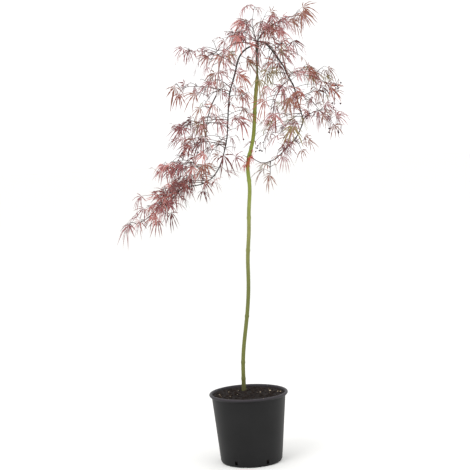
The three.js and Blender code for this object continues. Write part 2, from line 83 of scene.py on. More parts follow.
def finish(piece, name, material, nodes, smooth):
    """smooth: the angle in degrees under which edges are shaded smooth, or 0 for none."""
    only(piece)
    bpy.ops.object.transform_apply(location=True, rotation=True, scale=True)
    piece.name = name
    piece.data.name = name
    piece.data.materials.clear()
    piece.data.materials.append(material)
    if smooth:
        bpy.ops.object.shade_smooth_by_angle(angle=math.radians(smooth))
    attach(piece, "root")
    if nodes:
        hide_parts(*nodes)
    print(name, "faces:", len(piece.data.polygons))


# %% [markdown]
# ## Materials
# Plant colours are read off a screen as sRGB hex values, but Blender's shaders work in linear
# light, so one function turns the first into the second by the sRGB standard's constants. Another
# adds a node with its settings and links, so that a material reads like a recipe.

# %% Colour and node helpers


def linear(code):
    parts = [int(code[i : i + 2], 16) / 255 for i in (0, 2, 4)]
    return [p / 12.92 if p <= 0.04045 else ((p + 0.055) / 1.055) ** 2.4 for p in parts] + [1.0]


def add_node(tree, kind, settings=None, links=None):
    node = tree.nodes.new(kind)
    for key, value in (settings or {}).items():
        if key in node.inputs:
            node.inputs[key].default_value = value
        else:
            setattr(node, key, value)
    for key, source in (links or {}).items():
        tree.links.new(source, node.inputs[key])
    return node


def new_material(name, colour, roughness, specular):
    material = bpy.data.materials.new(name)
    material.use_nodes = True
    shader = material.node_tree.nodes["Principled BSDF"]
    shader.inputs["Base Color"].default_value = linear(colour)
    shader.inputs["Roughness"].default_value = roughness
    shader.inputs["Specular IOR Level"].default_value = specular
    return material, material.node_tree, shader


def noise(tree, place, size, detail):
    settings = {"Scale": 1 / size, "Detail": detail}
    return add_node(tree, "ShaderNodeTexNoise", settings, {"Vector": place}).outputs["Fac"]


def height_share(tree, place, low, high):
    """0 at the low height and 1 at the high one."""
    height = add_node(tree, "ShaderNodeSeparateXYZ", {}, {"Vector": place}).outputs["Z"]
    ends = {"From Min": low, "From Max": high}
    return add_node(tree, "ShaderNodeMapRange", ends, {"Value": height}).outputs["Result"]


def colour_ramp(tree, source, stops):
    node = add_node(tree, "ShaderNodeValToRGB", {}, {"Fac": source})
    elements = node.color_ramp.elements
    while len(elements) < len(stops):
        elements.new(1.0)
    for element, (place, code) in zip(elements, stops):
        element.position = place
        element.color = linear(code)
    return node.outputs["Color"]


# %% [markdown]
# ## Injection-moulded polypropylene
# A nursery pot is recycled polypropylene from a sand-blasted mould, so it is nearly black with a
# soft, wide sheen, which a fine grain breaks up. Dust of compost lightens it in broad patches, and
# the lip, which hands and other pots rub, is a paler grey.

# %% Pot material
LIP_FADE = (162 * MM, 167 * MM)
pot_plastic, tree, shader = new_material("moulded_polypropylene", "131314", 0.5, 0.22)
place = add_node(tree, "ShaderNodeTexCoord").outputs["Object"]
patches = noise(tree, place, size=60 * MM, detail=3.0)
tint = colour_ramp(tree, patches, [(0.3, "0e0e0f"), (0.75, "151516")])
worn = add_node(tree, "ShaderNodeMix", {"data_type": "RGBA"})
worn.inputs["B"].default_value = linear("322e33")
tree.links.new(height_share(tree, place, *LIP_FADE), worn.inputs["Factor"])
tree.links.new(tint, worn.inputs["A"])
tree.links.new(worn.outputs["Result"], shader.inputs["Base Color"])
grain = noise(tree, place, size=0.6 * MM, detail=2.0)
bump = add_node(tree, "ShaderNodeBump", {"Strength": 0.25, "Distance": 0.05 * MM}, {"Height": grain})
tree.links.new(bump.outputs["Normal"], shader.inputs["Normal"])
print(pot_plastic.name, "nodes:", len(tree.nodes))

# %% [markdown]
# ## The pot
# The wall of a moulded pot is thin and even, and its lip is rolled outwards to stiffen it. A
# cylinder with a Solidify modifier would do, but lip and foot need their own outline. So one ring
# of edges is extruded up the outside, over the lip and down inside, as a potter draws the wall up.

# %% Pull a ring of edges along an outline
SIDES = 96


def pull_ring(outline):
    """A closed vessel from an outline of (radius, height) pairs in mm, first and last flat."""
    radius, height = outline[0]
    bpy.ops.object.select_all(action="DESELECT")
    bpy.ops.mesh.primitive_circle_add(vertices=SIDES, radius=radius * MM, location=(0, 0, height * MM))
    piece = bpy.context.object
    bpy.ops.object.transform_apply(location=True)
    bpy.ops.object.mode_set(mode="EDIT")
    bpy.ops.mesh.select_mode(type="EDGE")
    bpy.ops.mesh.select_all(action="SELECT")
    for next_radius, next_height in outline[1:]:
        bpy.ops.mesh.extrude_edges_move(
            TRANSFORM_OT_translate={"value": (0, 0, (next_height - height) * MM)}
        )
        grow = next_radius / radius
        bpy.ops.transform.resize(value=(grow, grow, 1), center_override=(0, 0, next_height * MM))
        radius, height = next_radius, next_height
    bpy.ops.mesh.edge_face_add()
    bpy.ops.mesh.select_all(action="DESELECT")
    bpy.ops.mesh.select_non_manifold()
    bpy.ops.mesh.edge_face_add()
    bpy.ops.mesh.select_all(action="SELECT")
    bpy.ops.mesh.normals_make_consistent(inside=False)
    bpy.ops.object.mode_set(mode="OBJECT")
    return piece


def arc(centre, radius, start, end, steps):
    turns = np.radians(np.linspace(start, end, steps))
    return [(centre[0] + radius * math.cos(t), centre[1] + radius * math.sin(t)) for t in turns]


# %% Make the pot
POT_HEIGHT = 168.7
LIP_RADIUS = 95.0
LIP_BEAD = 3.4
WALL = 1.8
WALL_TOP = 159.5
WALL_TOP_RADIUS = 89.0
WALL_FOOT = 14.0
WALL_FOOT_RADIUS = 75.3
FLOOR_AND_FOOT = [(63, 1.2), (64.5, 0.0), (69.0, 0.0), (71.2, 0.6), (73.0, 2.4), (74.3, 5.6)]
OUTER_WALL = [(74.9, 9.5), (WALL_FOOT_RADIUS, WALL_FOOT), (88.1, 149.0), (WALL_TOP_RADIUS, WALL_TOP)]
UNDER_LIP = [(90.6, 161.3), (93.0, 161.5)]
INNER_WALL = [(WALL_TOP_RADIUS - WALL, WALL_TOP), (WALL_FOOT_RADIUS - WALL, WALL_FOOT), (67.2, 2.4)]
lip = arc((LIP_RADIUS - LIP_BEAD, POT_HEIGHT - LIP_BEAD), LIP_BEAD, -45, 150, 10)
pot = pull_ring(FLOOR_AND_FOOT + OUTER_WALL + UNDER_LIP + lip + INNER_WALL)
print("pot faces before the slots:", len(pot.data.polygons))

# %% [markdown]
# ## Drainage slots
# Water leaves through slots low on the wall. One box is copied round the pot, each copy with its
# own mesh, and a Boolean modifier cuts all of them at once.

# %% Cut the slots
SLOTS = 6
SLOT_SIZE = Vector((30, 7, 10)) * MM
SLOT_HEIGHT = 11 * MM
cutters = []
for i in range(SLOTS):
    turn = i * 2 * math.pi / SLOTS
    bpy.ops.object.select_all(action="DESELECT")
    at = (WALL_FOOT_RADIUS * MM * math.cos(turn), WALL_FOOT_RADIUS * MM * math.sin(turn), SLOT_HEIGHT)
    bpy.ops.mesh.primitive_cube_add(size=1, location=at, rotation=(0, 0, turn), scale=SLOT_SIZE)
    cutters.append(bpy.context.object)
bpy.ops.object.select_all(action="DESELECT")
for cutter in cutters:
    cutter.select_set(True)
bpy.context.view_layer.objects.active = cutters[0]
bpy.ops.object.join()
cutter = bpy.context.object
cut = pot.modifiers.new("slots", "BOOLEAN")
cut.operation = "DIFFERENCE"
cut.object = cutter
cut.solver = "EXACT"
apply_modifiers(pot)
bpy.data.objects.remove(cutter)
finish(pot, "moulded_pot", pot_plastic, ["pot"], smooth=30)

# %% [markdown]
# ## Compost
# Potting compost is dark, crumbly bark and peat with bark chips and pale grains of lime. It stands
# a little higher round the trunk. The ring of edges makes its body too, and a Displace modifier
# roughens the closely spaced rings on top, which are in a vertex group of their own.

# %% Compost materials
compost_mix, tree, shader = new_material("bark_and_peat_compost", "2c241f", 0.95, 0.2)
place = add_node(tree, "ShaderNodeTexCoord").outputs["Object"]
crumbs = noise(tree, place, size=3 * MM, detail=4.0)
tint = colour_ramp(tree, crumbs, [(0.35, "120e0d"), (0.55, "1c1614"), (0.75, "2c231e")])
tree.links.new(tint, shader.inputs["Base Color"])
bark_chip, _, _ = new_material("composted_bark", "261d18", 0.9, 0.2)
pale_grain, _, _ = new_material("lime_grain", "cbb89c", 0.8, 0.3)
print(compost_mix.name, "nodes:", len(tree.nodes))

# %% Compost body
SOIL_EDGE = 163.5
SOIL_MOUND = 168.0
SOIL_SEAT_RADIUS = 33.0
SOIL_RADIUS = 87.2
RING_STEP = 3
ROUGH_RADIUS = 86 * MM


def surface_height(radius):
    """Level in the middle, where the trunk stands, and lower towards the wall."""
    share = min(1.0, max(0.0, (radius - SOIL_SEAT_RADIUS) / (SOIL_RADIUS - SOIL_SEAT_RADIUS)))
    return SOIL_MOUND - (SOIL_MOUND - SOIL_EDGE) * math.sqrt(share * (2 - share))


rings = [(radius, surface_height(radius)) for radius in range(1, 87, RING_STEP)]
soil = pull_ring([(66, 3.0), (73.0, 15.0), (SOIL_RADIUS, SOIL_EDGE)] + rings[::-1])
surface = soil.vertex_groups.new(name="surface")
on_top = [
    v.index for v in soil.data.vertices
    if v.co.z > (SOIL_EDGE - 1) * MM and v.co.xy.length < ROUGH_RADIUS
]
surface.add(on_top, 1.0, "REPLACE")
roughen(soil, "crumbs", size=7 * MM, height=4 * MM, depth=3, middle=0.6, group="surface")
finish(soil, "compost", compost_mix, ["soil"], smooth=60)

# %% [markdown]
# ## Seeded draws
# A plant grows by rule and by chance. For the same plant to grow every time, chance is a seeded
# list of numbers, each the last one times a fixed factor, modulo a prime. The plain solids used
# these draws, so the fine leaves land on the coarse ones.

# %% Draws and directions
PRIME = 2147483647
FACTOR = 48271
SEED_FACTOR = 7919
SEED_START = 104729


def seeded_draws(seed):
    state = [seed * SEED_FACTOR + SEED_START]

    def draw(low, high):
        state[0] = (state[0] * FACTOR) % PRIME
        return low + (high - low) * (state[0] / PRIME)

    return draw


def direction(heading, pitch):
    h, p = math.radians(heading), math.radians(pitch)
    return np.array([math.cos(p) * math.cos(h), math.cos(p) * math.sin(h), math.sin(p)])


# %% [markdown]
# ## Chips and grains
# Bark chips and pale grains lie loose on the compost. One lump of ten triangles serves for all,
# turned and sized by the draws. They are joined into one mesh of each kind, because there are
# hundreds.

# %% Small lumps, and many of them in one mesh


def lump(ring, top, bottom):
    """Corners and faces of a closed lump round a ring of corners."""
    n = len(ring)
    sides = [(i, (i + 1) % n) for i in range(n)]
    faces = [(a, b, n) for a, b in sides] + [(b, a, n + 1) for a, b in sides]
    return np.array(ring + [top, bottom], float), faces


def joined(name, parts):
    """One mesh from many small (corners, faces) parts, corners in mm."""
    corners, faces, base = [], [], 0
    for part_corners, part_faces in parts:
        corners.append(part_corners)
        faces += [[base + i for i in face] for face in part_faces]
        base += len(part_corners)
    mesh = bpy.data.meshes.new(name)
    mesh.from_pydata((np.concatenate(corners) * MM).tolist(), [], faces)
    piece = bpy.data.objects.new(name, mesh)
    bpy.context.scene.collection.objects.link(piece)
    return piece


# %% Chips and grains on the compost
RING = [[1, 0, 0.1], [0.3, 0.45, 0], [-0.9, 0.3, 0], [-0.7, -0.4, 0.1], [0.4, -0.4, 0]]
CHIP, CHIP_FACES = lump(RING, [0, 0, 0.5], [0, 0, -0.4])
SCATTER_INSIDE = 9.0
SCATTER_EDGE = 80.0
# Across, forward and size in mm.
LARGE_GRAINS = [(28.6, 34.4, 3.0), (52.5, 16.4, 2.8), (77.3, -1.6, 2.6)]


def turned(corners, draw):
    spin = Matrix.Rotation(draw(0, 2 * math.pi), 3, "Z") @ Matrix.Rotation(draw(-0.6, 0.6), 3, "X")
    return corners @ np.array(spin).T


def scatter(count, smallest, largest, seed):
    draw = seeded_draws(seed)
    parts = []
    for _ in range(count):
        radius = max(SCATTER_INSIDE, SCATTER_EDGE * math.sqrt(draw(0, 1)))
        turn = draw(0, 2 * math.pi)
        size = draw(smallest, largest)
        x, y = radius * math.cos(turn), radius * math.sin(turn)
        middle = [x, y, surface_height(radius) + 0.2 * size]
        parts.append((turned(CHIP * size, draw) + middle, CHIP_FACES))
    return parts


chips = scatter(count=420, smallest=1.4, largest=4.6, seed=901)
finish(joined("chips", chips), "bark_chips", bark_chip, [], smooth=0)
draw = seeded_draws(903)
grains = [
    (turned(CHIP * size, draw) + [x, y, SOIL_EDGE + 2.2], CHIP_FACES) for x, y, size in LARGE_GRAINS
]
grains = scatter(count=26, smallest=1.0, largest=1.9, seed=902) + grains
finish(joined("grains", grains), "pale_grains", pale_grain, [], smooth=60)

# %% [markdown]
# ## Bark
# Young maple bark is smooth and slightly waxy. Below the graft it is green, yellower in the light and
# darker at the foot, where the darker green is painted shade for the shadow round its base. Fine grey
# streaks run along it: noise stretched along Z, as coarse as it must be to show. The grafted head and
# its boughs are a near-black brown, and the twigs a redder one.

# %% Green bark of the stock
HEAD_HEIGHT = 1005.0
green_bark, tree, shader = new_material("green_maple_bark", "7f8a45", 0.55, 0.35)
place = add_node(tree, "ShaderNodeTexCoord").outputs["Object"]
# Green along the stock. The lowest stop, 4c4a24, darkens its foot as painted shade for the shadow round
# the base.
along = colour_ramp(
    tree, height_share(tree, place, SOIL_MOUND * MM, HEAD_HEIGHT * MM),
    [
        (0.0, "4c4a24"), (0.05, "686c32"), (0.3, "676c33"), (0.45, "83854a"), (0.65, "8b9a3e"),
        (0.87, "787930"), (0.945, "40382f"),
    ],
)
stretch = add_node(tree, "ShaderNodeMapping", {"Scale": (1, 1, 0.07)}, {"Vector": place})
streaks = noise(tree, stretch.outputs["Vector"], size=1.6 * MM, detail=3.0)
shade = colour_ramp(tree, streaks, [(0.35, "c4c4b4"), (0.65, "ffffff")])
mix = add_node(tree, "ShaderNodeMix", {"data_type": "RGBA", "blend_type": "MULTIPLY"})
mix.inputs["Factor"].default_value = 0.6
tree.links.new(along, mix.inputs["A"])
tree.links.new(shade, mix.inputs["B"])
tree.links.new(mix.outputs["Result"], shader.inputs["Base Color"])
print(green_bark.name, "nodes:", len(tree.nodes))

# %% Brown barks
dark_bark, _, _ = new_material("dark_maple_bark", "332b28", 0.6, 0.3)
young_bark, _, _ = new_material("young_maple_bark", "6b4a42", 0.6, 0.3)
twig_bark, _, _ = new_material("maple_twig_bark", "47302c", 0.6, 0.3)
print("barks:", [bark.name for bark in (green_bark, dark_bark, young_bark, twig_bark)])

# %% [markdown]
# ## Curves that become limbs
# A limb is a line whose thickness changes along it. In Blender that is a curve with a round bevel
# and a radius at each point, turned to a mesh when its shape is right. Its section doesn't twist,
# as it would in a chain of extrusions.

# %% Make a limb


def limb_mesh(points, radii, sides):
    """A closed tube in mm along points. sides counts a quarter of the way round."""
    curve = bpy.data.curves.new("limb", "CURVE")
    curve.dimensions = "3D"
    curve.bevel_depth = 1.0 * MM
    curve.bevel_resolution = sides
    curve.use_fill_caps = True
    spline = curve.splines.new("POLY")
    spline.points.add(len(points) - 1)
    for point, place, radius in zip(spline.points, points, radii):
        point.co = (*(np.asarray(place) * MM), 1.0)
        point.radius = radius
    piece = bpy.data.objects.new("limb", curve)
    bpy.context.scene.collection.objects.link(piece)
    only(piece)
    bpy.ops.object.convert(target="MESH")
    return bpy.context.object


# %% [markdown]
# ## The trunk
# The trunk leans and wanders, because each year's shoot grew from a bud beside the last one. A low
# ring marks each year, a step marks the graft, and the head swells where the boughs spring. The
# line is the solid's own, and the bark a little thicker than the solid. A Displace modifier adds
# the faint ribs of real bark.

# %% Trunk line
TRUNK_FOOT = (-7.0, 20.0)
TRUNK_HEAD = (62.0, 0.0, HEAD_HEIGHT)
# Height, how far the trunk strays across and forward there, and over what spread.
KINKS = [(250, -8, 3, 90), (500, -5, -5, 60), (612, -6, -4, 60), (714, -12, 4, 46), (920, 3, 0, 40)]


def trunk_centre(z):
    share = (z - SOIL_MOUND) / (TRUNK_HEAD[2] - SOIL_MOUND)
    x = TRUNK_FOOT[0] + (TRUNK_HEAD[0] - TRUNK_FOOT[0]) * share
    y = TRUNK_FOOT[1] + (TRUNK_HEAD[1] - TRUNK_FOOT[1]) * share
    for height, stray_x, stray_y, spread in KINKS:
        weight = math.exp(-(((z - height) / spread) ** 2))
        x += stray_x * weight
        y += stray_y * weight
    return np.array([x, y, z])


# %% Trunk thickness
STOCK_RADIUS = 4.8
STOCK_THINNING = 0.4
SCION_RADIUS = 2.5
GRAFT = 922.0
GRAFT_STEP = 7
FLARE = 1.45
FLARE_HEIGHT = 14
HEAD_SWELL = 1.9
HEAD_SPREAD = 11
BUD_RINGS = [197, 237, 350, 510, 588, 677, 738, 837, 891]
BUD_RING_HEIGHT = 0.8
BUD_RING_SPREAD = 3.2


def trunk_radius(z):
    share = (z - SOIL_MOUND) / (GRAFT - SOIL_MOUND)
    stock = STOCK_RADIUS - STOCK_THINNING * share
    step = min(1.0, max(0.0, (z - GRAFT + GRAFT_STEP) / (2 * GRAFT_STEP)))
    step = step * step * (3 - 2 * step)
    radius = stock + (SCION_RADIUS - stock) * step
    radius += FLARE * math.exp(-(z - SOIL_MOUND) / FLARE_HEIGHT)
    radius += HEAD_SWELL * math.exp(-(((z - TRUNK_HEAD[2] + HEAD_SPREAD) / HEAD_SPREAD) ** 2))
    for ring in BUD_RINGS:
        radius += BUD_RING_HEIGHT * math.exp(-(((z - ring) / BUD_RING_SPREAD) ** 2))
    return radius


# %% Make the trunk
TRUNK_STEP = 2.5
heights = np.arange(SOIL_MOUND - TRUNK_STEP, TRUNK_HEAD[2], TRUNK_STEP)
trunk = limb_mesh([trunk_centre(z) for z in heights], [trunk_radius(z) for z in heights], sides=5)
roughen(trunk, "ribs", size=2.2 * MM, height=0.35 * MM)
finish(trunk, "trunk_bark", green_bark, ["trunk"], smooth=50)

# %% [markdown]
# ## The boughs
# Each bough leaves the head upwards, bends over and hangs, so its pitch at each distance says
# everything about it. The rule walks along in short steps and turns as the table says. A node
# stands out every few centimetres, where a pair of leaves once sat. The two main boughs are old
# and dark, the lesser ones redder and thinner.

# %% Walk a limb
WALK_STEP = 3.0


def bend_at(bends, along):
    for (a, pitch_a, heading_a), (b, pitch_b, heading_b) in zip(bends, bends[1:]):
        if b >= along:
            break
    share = (along - a) / (b - a)
    return pitch_a + (pitch_b - pitch_a) * share, heading_a + (heading_b - heading_a) * share


def walk(start, bends):
    length = bends[-1][0]
    steps = math.ceil(length / WALK_STEP)
    points = [np.array(start, float)]
    for i in range(steps):
        pitch, heading = bend_at(bends, (i + 0.5) * length / steps)
        points.append(points[-1] + direction(heading, pitch) * length / steps)
    return np.array(points), length


def point_along(limb, along):
    points, length = limb
    place = min(max(along / length, 0.0), 1.0) * (len(points) - 1)
    i = min(int(place), len(points) - 2)
    return points[i] + (points[i + 1] - points[i]) * (place - i)


def stations(start, end, spacing):
    count = max(1, math.floor((end - start) / spacing + 0.5))
    return [start + (end - start) * i / count for i in range(count + 1)]


# %% Bough table
# Start, length, radius at both ends, and bends: distance, pitch and heading.
BOUGHS = {
    "left": (
        [62, 0, 996], 436, (2.1, 1.1),
        [
            (0, -2, 188), (12, -14, 188), (30, -34, 188), (58, -66, 188), (76, -75, 188),
            (128, -70, 188), (150, -82, 188), (222, -86, 188), (262, -76, 188), (305, -70, 188),
            (345, -46, 188), (375, -18, 188), (396, -4, 188), (412, -10, 188), (440, -40, 188),
        ],
    ),
    "right": (
        [60, 0, 1002], 366, (2.1, 1.1),
        [
            (0, 28, 10), (8, 0, 10), (24, -42, 10), (45, -54, 10), (84, -57, 10), (108, -70, 10),
            (124, -61, 10), (142, -64, 10), (152, -79, 10), (222, -74, 10), (238, -113, 16),
            (264, -121, 16), (288, -138, 16), (342, -140, 16), (354, -162, 16), (372, -188, 16),
        ],
    ),
    "back_left": (
        [60, 0, 993], 238, (1.6, 0.9),
        [(0, 28, 128), (30, 12, 128), (85, -10, 130), (130, -45, 132), (175, -72, 130), (240, -83, 128)],
    ),
    "front_left": (
        [60, 0, 989], 236, (1.6, 0.9),
        [(0, 26, 233), (35, 8, 233), (90, -12, 231), (135, -48, 230), (180, -74, 232), (240, -85, 234)],
    ),
    "back_right": (
        [63, 0, 996], 178, (1.6, 0.9),
        [(0, 26, 60), (25, 6, 60), (62, -24, 60), (105, -55, 62), (150, -76, 60), (190, -82, 58)],
    ),
    "front_right": (
        [63, 0, 990], 172, (1.6, 0.9),
        [(0, 24, 304), (30, 4, 304), (70, -28, 303), (110, -58, 301), (155, -77, 303), (190, -82, 305)],
    ),
}
print("boughs:", len(BOUGHS))

# %% Make the boughs
BOUGH_STEP = 2.0
LESSER_THINNING = 0.7
KNOT_SPACING = 34
KNOT_SHIFT = 14
KNOT_WIDTH = 1.8
KNOT_HEIGHT = 0.45
limbs = {}
for name, (start, reach, radii, bends) in BOUGHS.items():
    limbs[name] = walk(start, bends)
    is_main = name in ("left", "right")
    places = np.arange(0, reach, BOUGH_STEP)
    from_knot = (places + KNOT_SHIFT) % KNOT_SPACING - KNOT_SPACING / 2
    knots = np.exp(-((from_knot / KNOT_WIDTH) ** 2)) * KNOT_HEIGHT
    slim = 1.0 if is_main else LESSER_THINNING
    thickness = (radii[0] + (radii[1] - radii[0]) * places / reach) * slim + knots
    bough = limb_mesh([point_along(limbs[name], a) for a in places], thickness, sides=3)
    parts = [node for node in NODES if node.startswith(name + "_bough_")]
    bark = dark_bark if is_main else young_bark
    finish(bough, name + "_bough", bark, parts, smooth=50)

# %% [markdown]
# ## Stems of the masses
# The leaves hang in masses, each round one stem that walks as a bough does. They begin a little
# way out and hang, so the line that stands for a mass lies lower than its stem. Its root, up to
# the first leaves, is a second line that other masses keep off.

# %% Table of stems
# Bough or None, name, place along it or height on the trunk, heading, pitch at start and end,
# length and leaf size.
MASSES = [
    ("left", "shoulder", 78, 177, 46, -4, 120, 38),
    ("left", "upper", 145, 178, 30, -10, 122, 40),
    ("left", "upper_front", 139, 236, 22, -40, 92, 40),
    ("left", "upper_back", 131, 130, 44, -18, 92, 40),
    ("left", "middle", 205, 182, 8, -18, 98, 40),
    ("left", "lower", 272, 177, 40, -30, 92, 42),
    ("left", "lower_front", 265, 240, 14, -46, 84, 40),
    ("left", "lower_back", 257, 108, 24, -40, 80, 40),
    ("left", "sweep", 379, 182, 108, -50, 124, 42),
    ("left", "sweep_front", 371, 202, 12, -24, 84, 42),
    ("left", "sweep_back", 363, 162, 12, -24, 84, 42),
    ("left", "tail", 435, 189, -48, -20, 130, 42),
    ("left", "tail_front", 428, 210, -16, -46, 84, 42),
    ("left", "tail_back", 420, 166, -8, -40, 84, 42),
    ("right", "shoulder", 118, 4, 34, -36, 94, 40),
    ("right", "inner", 111, 202, 14, -26, 70, 38),
    ("right", "upper", 178, 2, 36, -10, 74, 40),
    ("right", "upper_front", 171, 300, 12, -46, 84, 40),
    ("right", "upper_back", 163, 66, 12, -46, 84, 40),
    ("right", "middle", 228, 3, 46, -14, 70, 42),
    ("right", "lower_front", 221, 236, 11, -42, 84, 40),
    ("right", "lower_back", 213, 150, 8, -40, 84, 40),
    ("right", "return", 282, 285, -4, -30, 34, 32),
    ("right", "inner_lower", 360, 250, -56, -78, 16, 24),
    ("back_left", "upper", 127, 112, 14, -46, 88, 42),
    ("back_left", "lower", 237, 140, -48, -78, 82, 42),
    ("front_left", "upper", 131, 248, 14, -46, 88, 42),
    ("front_left", "lower", 235, 222, -48, -78, 82, 42),
    ("back_right", "upper", 79, 96, 26, -42, 94, 42),
    ("back_right", "lower", 177, 112, -14, -56, 92, 42),
    ("front_right", "upper", 83, 282, 26, -42, 94, 42),
    ("front_right", "lower", 171, 240, -14, -56, 92, 42),
    (None, "top_left", 1000, 168, 70, 104, 80, 38),
    (None, "top_right", 1003, 18, 56, 6, 120, 40),
    (None, "top_back", 999, 52, 60, -14, 94, 42),
    (None, "top_front", 1000, 306, 60, -14, 94, 42),
    (None, "top_ridge", 998, 208, 64, -20, 76, 40),
    (None, "trunk_shoot", 716, 262, 62, 30, 26, 16),
    ("left", "inner", 150, 14, 24, -30, 32, 34),
]
print("masses:", len(MASSES))

# %% Stems
BARE = 16.0
LINE_STEP = 16
HANG = 0.36


class Stem:
    def __init__(self, index, row):
        bough, part, at, self.heading, start_pitch, self.end_pitch, self.length, self.size = row
        self.name = f"{bough}_{part}" if bough else part
        self.index = index
        start = point_along(limbs[bough], at) if bough else trunk_centre(at)
        bends = [(0, start_pitch, self.heading), (self.length, self.end_pitch, self.heading)]
        self.limb = walk(start, bends)
        hang = np.array([0, 0, -HANG * self.size])
        self.axis = np.array([self.at(a) + hang for a in stations(BARE, self.length, LINE_STEP)])
        self.root = np.array([start, self.axis[0]])

    def at(self, along):
        return point_along(self.limb, along)


stems = [Stem(i, row) for i, row in enumerate(MASSES)]
print("stems:", len(stems))

# %% [markdown]
# ## Distances to many lines at once
# A mass keeps the space that is nearer to its own stem than to any other, and stays off the limbs,
# so that no two grow through each other. The distance from a point to every stem is one
# calculation on arrays, which keeps this quick.

# %% Lines and their distances


class Lines:
    """Many lines of points, laid end to end as segments that know which line they are of."""

    def __init__(self, lines):
        self.start = np.concatenate([line[:-1] for line in lines])
        self.way = np.concatenate([line[1:] - line[:-1] for line in lines])
        self.square = np.maximum((self.way**2).sum(1), 1e-9)
        self.first = np.cumsum([0] + [len(line) - 1 for line in lines[:-1]])

    def distances(self, points):
        gap = points[:, None, :] - self.start
        share = np.clip((gap * self.way).sum(2) / self.square, 0, 1)
        gap = gap - share[:, :, None] * self.way
        return np.minimum.reduceat(np.sqrt((gap**2).sum(2)), self.first, axis=1)


# %% Space of each mass
OWN_REACH = 84
MARGIN = 2.2
ROOT_ROOM = 3.35
SOLID_TRUNK_RADIUS = 4.15
trunk_line = [trunk_centre(z) for z in np.arange(SOIL_MOUND, HEAD_HEIGHT + 1, 13)]
axes = Lines([stem.axis for stem in stems])
roots = Lines([stem.root for stem in stems])
limb_lines = Lines(
    [np.array(trunk_line)]
    + [
        np.array([point_along(limbs[n], a) for a in stations(0, BOUGHS[n][1], LINE_STEP)])
        for n in BOUGHS
    ]
)
limb_room = np.array([SOLID_TRUNK_RADIUS] + [BOUGHS[n][2][0] for n in BOUGHS]) + MARGIN


def in_own_space(points, stem, margin=MARGIN):
    away = axes.distances(points)
    own = away[:, stem.index].copy()
    away[:, stem.index] = np.inf
    foot = roots.distances(points)
    foot[:, stem.index] = np.inf
    within = (own < OWN_REACH).all() and (away.min(1) > own + margin).all()
    return bool(within and (foot.min(1) > ROOT_ROOM).all())


def clear_of_limbs(points):
    return bool((limb_lines.distances(points) > limb_room).all())


print("segments of stems and limbs:", len(axes.start), len(limb_lines.start))

# %% [markdown]
# ## A finely cut leaf
# The leaf of a cut-leaf maple is seven fingers that part almost at the stalk, narrow, toothed and
# drooping. A flat card with a picture on it would be quick, but has no outline of its own. Here a
# finger is six triangles: it widens, is notched, widens again and ends in a point. A twig is
# thinner than a matchstick, so three sides are enough.

# %% Leaf shape
# Angle to the side in degrees and length as a share of the middle finger's.
FINGERS = [(0, 1.0), (22, 0.96), (-22, 0.96), (46, 0.84), (-46, 0.84), (78, 0.55), (-78, 0.55)]
FINGER_PLACES = np.array([0.0, 0.34, 0.34, 0.5, 0.5, 0.64, 0.64, 1.0])
FINGER_WIDTHS = np.array([0.0, 1.0, -1.0, 0.45, -0.45, 0.8, -0.8, 0.0])
FINGER_FACES = [(0, 2, 1), (1, 2, 4), (1, 4, 3), (3, 4, 6), (3, 6, 5), (5, 6, 7)]
FINGER_LENGTH = 1.22
FINGER_WIDTH = 0.049


def fine_leaf(centre, heading, pitch, roll, size, draw):
    """A leaf as (corners, faces). It points along heading and pitch, turned by roll about that."""
    along = direction(heading, pitch)
    upper = direction(heading, pitch + 90)
    side = np.cross(upper, along)
    turn = math.radians(roll)
    across = side * math.cos(turn) + upper * math.sin(turn)
    lift = upper * math.cos(turn) - side * math.sin(turn)
    bow = FINGER_PLACES**2
    corners, faces = [], []
    for angle, reach in FINGERS:
        lean = math.radians(angle + draw(-9, 9))
        length = size * FINGER_LENGTH * reach * draw(0.82, 1.18)
        width = size * FINGER_WIDTH * draw(0.75, 1.35)
        curl = draw(-0.2, 0.2)
        hang = draw(0.15, 0.6)
        way = along * math.cos(lean) + across * math.sin(lean)
        flank = across * math.cos(lean) - along * math.sin(lean)
        finger = centre + np.outer(FINGER_PLACES * length, way)
        finger += np.outer(FINGER_WIDTHS * width + curl * length * bow, flank)
        finger += np.outer((FINGER_PLACES - bow) * 0.25 * length, lift)
        finger[:, 2] -= hang * length * bow
        base = len(corners) * len(FINGER_PLACES)
        faces += [[base + i for i in face] for face in FINGER_FACES]
        corners.append(finger)
    return np.concatenate(corners), faces


# %% Twig shape


def fine_twig(start, end, radius, tip_radius, bow=0.0, rings=4, sides=3):
    """A thin closed tube as (corners, faces), in mm."""
    way = end - start
    length = np.linalg.norm(way)
    way = way / max(length, 1e-6)
    aside = np.cross(way, [0.0, 0.0, 1.0] if abs(way[2]) < 0.9 else [1.0, 0.0, 0.0])
    aside /= np.linalg.norm(aside)
    up = np.cross(aside, way)
    corners = []
    for i in range(rings):
        share = i / (rings - 1)
        rise = bow * length * share * (1 - share) * 4
        middle = start + (end - start) * share + [0, 0, rise]
        thick = radius + (tip_radius - radius) * share
        for j in range(sides):
            turn = 2 * math.pi * j / sides
            corners.append(middle + (aside * math.cos(turn) + up * math.sin(turn)) * thick)
    faces = []
    for i in range(rings - 1):
        for j in range(sides):
            a, b = i * sides + j, i * sides + (j + 1) % sides
            faces.append((a, b, b + sides, a + sides))
    faces.append(tuple(range(sides))[::-1])
    faces.append(tuple((rings - 1) * sides + j for j in range(sides)))
    return np.array(corners), faces


# %% [markdown]
# ## Tints
# Sprays differ in colour: those in the light are brick and rose, those in shade plum and umber. A
# spray is of one age, so it shares one plain colour, dealt out by the seeded draws. A leaf is thin
# and matt with a faint wax. One table gives each part its mix of tints, another how full of finer
# leaves it is, 1 being even.

